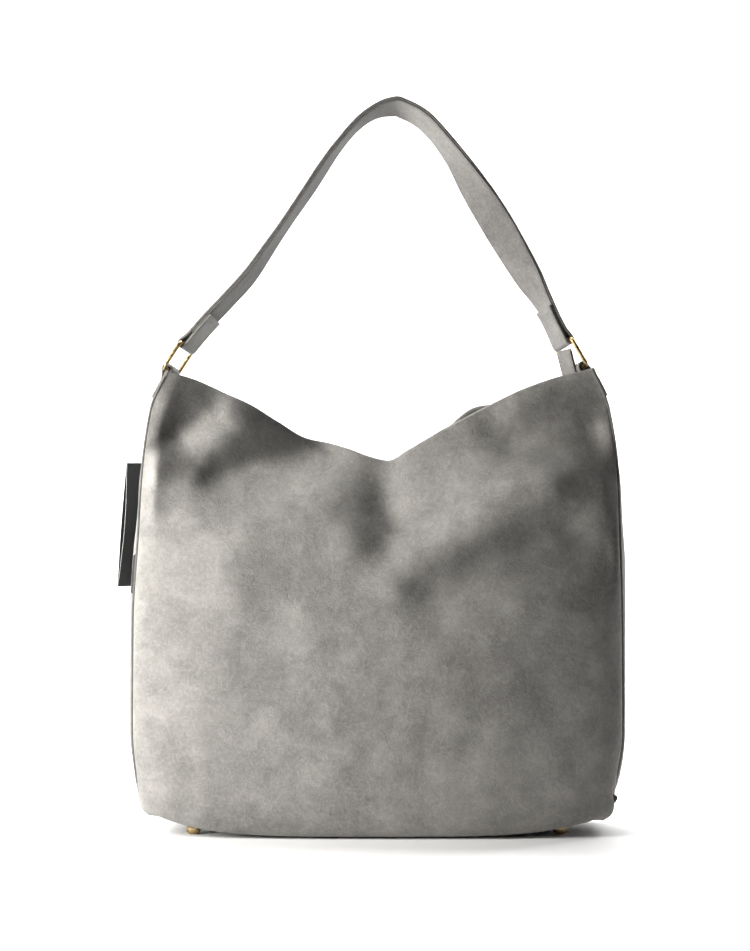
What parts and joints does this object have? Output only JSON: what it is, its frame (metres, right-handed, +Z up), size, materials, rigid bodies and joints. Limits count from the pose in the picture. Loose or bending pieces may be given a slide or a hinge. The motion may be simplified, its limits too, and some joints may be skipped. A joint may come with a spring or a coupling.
{
  "type": "hobo bag",
  "caption": "Slouchy shoulder bag in distressed faux nubuck, with side gussets, a base strip on brass feet, and one strap on rectangular brass rings.",
  "frame": {"origin": "on the ground under the middle of the bag", "axes": "+Z up, +X to the right as the front panel is seen, +Y from front to back"},
  "size_m": [0.4014, 0.1338, 0.5662],
  "materials": {
    "nubuck": "matte distressed faux nubuck, clouded taupe grey, fine grain",
    "strap_leather": "the same nubuck, with dark painted edges",
    "welt": "piping in the darker side of the same nubuck",
    "lining": "dark grey twill",
    "zip_tape": "woven tape with a closed coil",
    "brass": "satin brass, lightly brushed",
    "steel": "plain stamped washers",
    "board": "stiff pressed fibre board",
    "card": "black coated card with a white core at its cut edges, blank",
    "string": "thin twisted black string"
  },
  "bodies": {
    "bag": {"back_panel": "nubuck", "base_board": "board", "base_panel": "nubuck", "facing_back": "nubuck", "facing_front": "nubuck", "foot_1": "brass", "foot_2": "brass", "foot_3": "brass", "foot_4": "brass", "foot_washer_1": "steel", "foot_washer_2": "steel", "foot_washer_3": "steel", "foot_washer_4": "steel", "front_panel": "nubuck", "gusset_left": "nubuck", "gusset_right": "nubuck", "lining_back": "lining", "lining_front": "lining", "lining_strip": "lining", "ring_tether": "nubuck", "slip_pocket": "lining", "snap_post": "brass", "snap_post_patch": "nubuck", "snap_socket": "brass", "snap_socket_patch": "nubuck", "tab_left": "nubuck", "tab_right": "nubuck", "welt_back_left": "welt", "welt_back_right": "welt", "welt_front_left": "welt", "welt_front_right": "welt", "zip_pocket": "lining", "zip_stop_closed": "brass", "zip_stop_open": "brass", "zip_tape": "zip_tape"},
    "strap": {"strap": "strap_leather", "strap_facing": "strap_leather"},
    "ring_left": {"ring_left": "brass"},
    "ring_right": {"ring_right": "brass"},
    "tag": {"swing_tag": "card", "tag_string": "string"},
    "zip_slider": {"zip_slider": "brass"},
    "zip_pull": {"zip_pull": "brass"}
  },
  "joints": [
    {"name": "strap_swing", "type": "hinge", "parent": "bag", "child": "strap", "pos_m": [0, 0, 0.3555], "axis": [1, 0, 0.0044], "range_deg": [-22, 22], "deforming": ["tab_left", "tab_right", "ring_tether"]},
    {"name": "ring_left_tilt", "type": "hinge", "parent": "strap", "child": "ring_left", "pos_m": [-0.147, 0, 0.3742], "axis": [-0.216, -0.9659, 0.1425], "range_deg": [-2, 2]},
    {"name": "ring_right_tilt", "type": "hinge", "parent": "strap", "child": "ring_right", "pos_m": [0.1448, 0, 0.3766], "axis": [0.2948, -0.9397, 0.1734], "range_deg": [-2, 2]},
    {"name": "tag_swing", "type": "hinge", "parent": "bag", "child": "tag", "pos_m": [-0.1645, 0.0168, 0.35], "axis": [0.891, 0.454, 0], "range_deg": [0, 40]},
    {"name": "zip_slide", "type": "slide", "parent": "bag", "child": "zip_slider", "axis": [1, 0, 0], "range_m": [0, 0.124]},
    {"name": "zip_pull_flip", "type": "hinge", "parent": "zip_slider", "child": "zip_pull", "pos_m": [-0.062, 0.0322, 0.1936], "axis": [1, 0, 0], "range_deg": [-150, 0]}
  ]
}
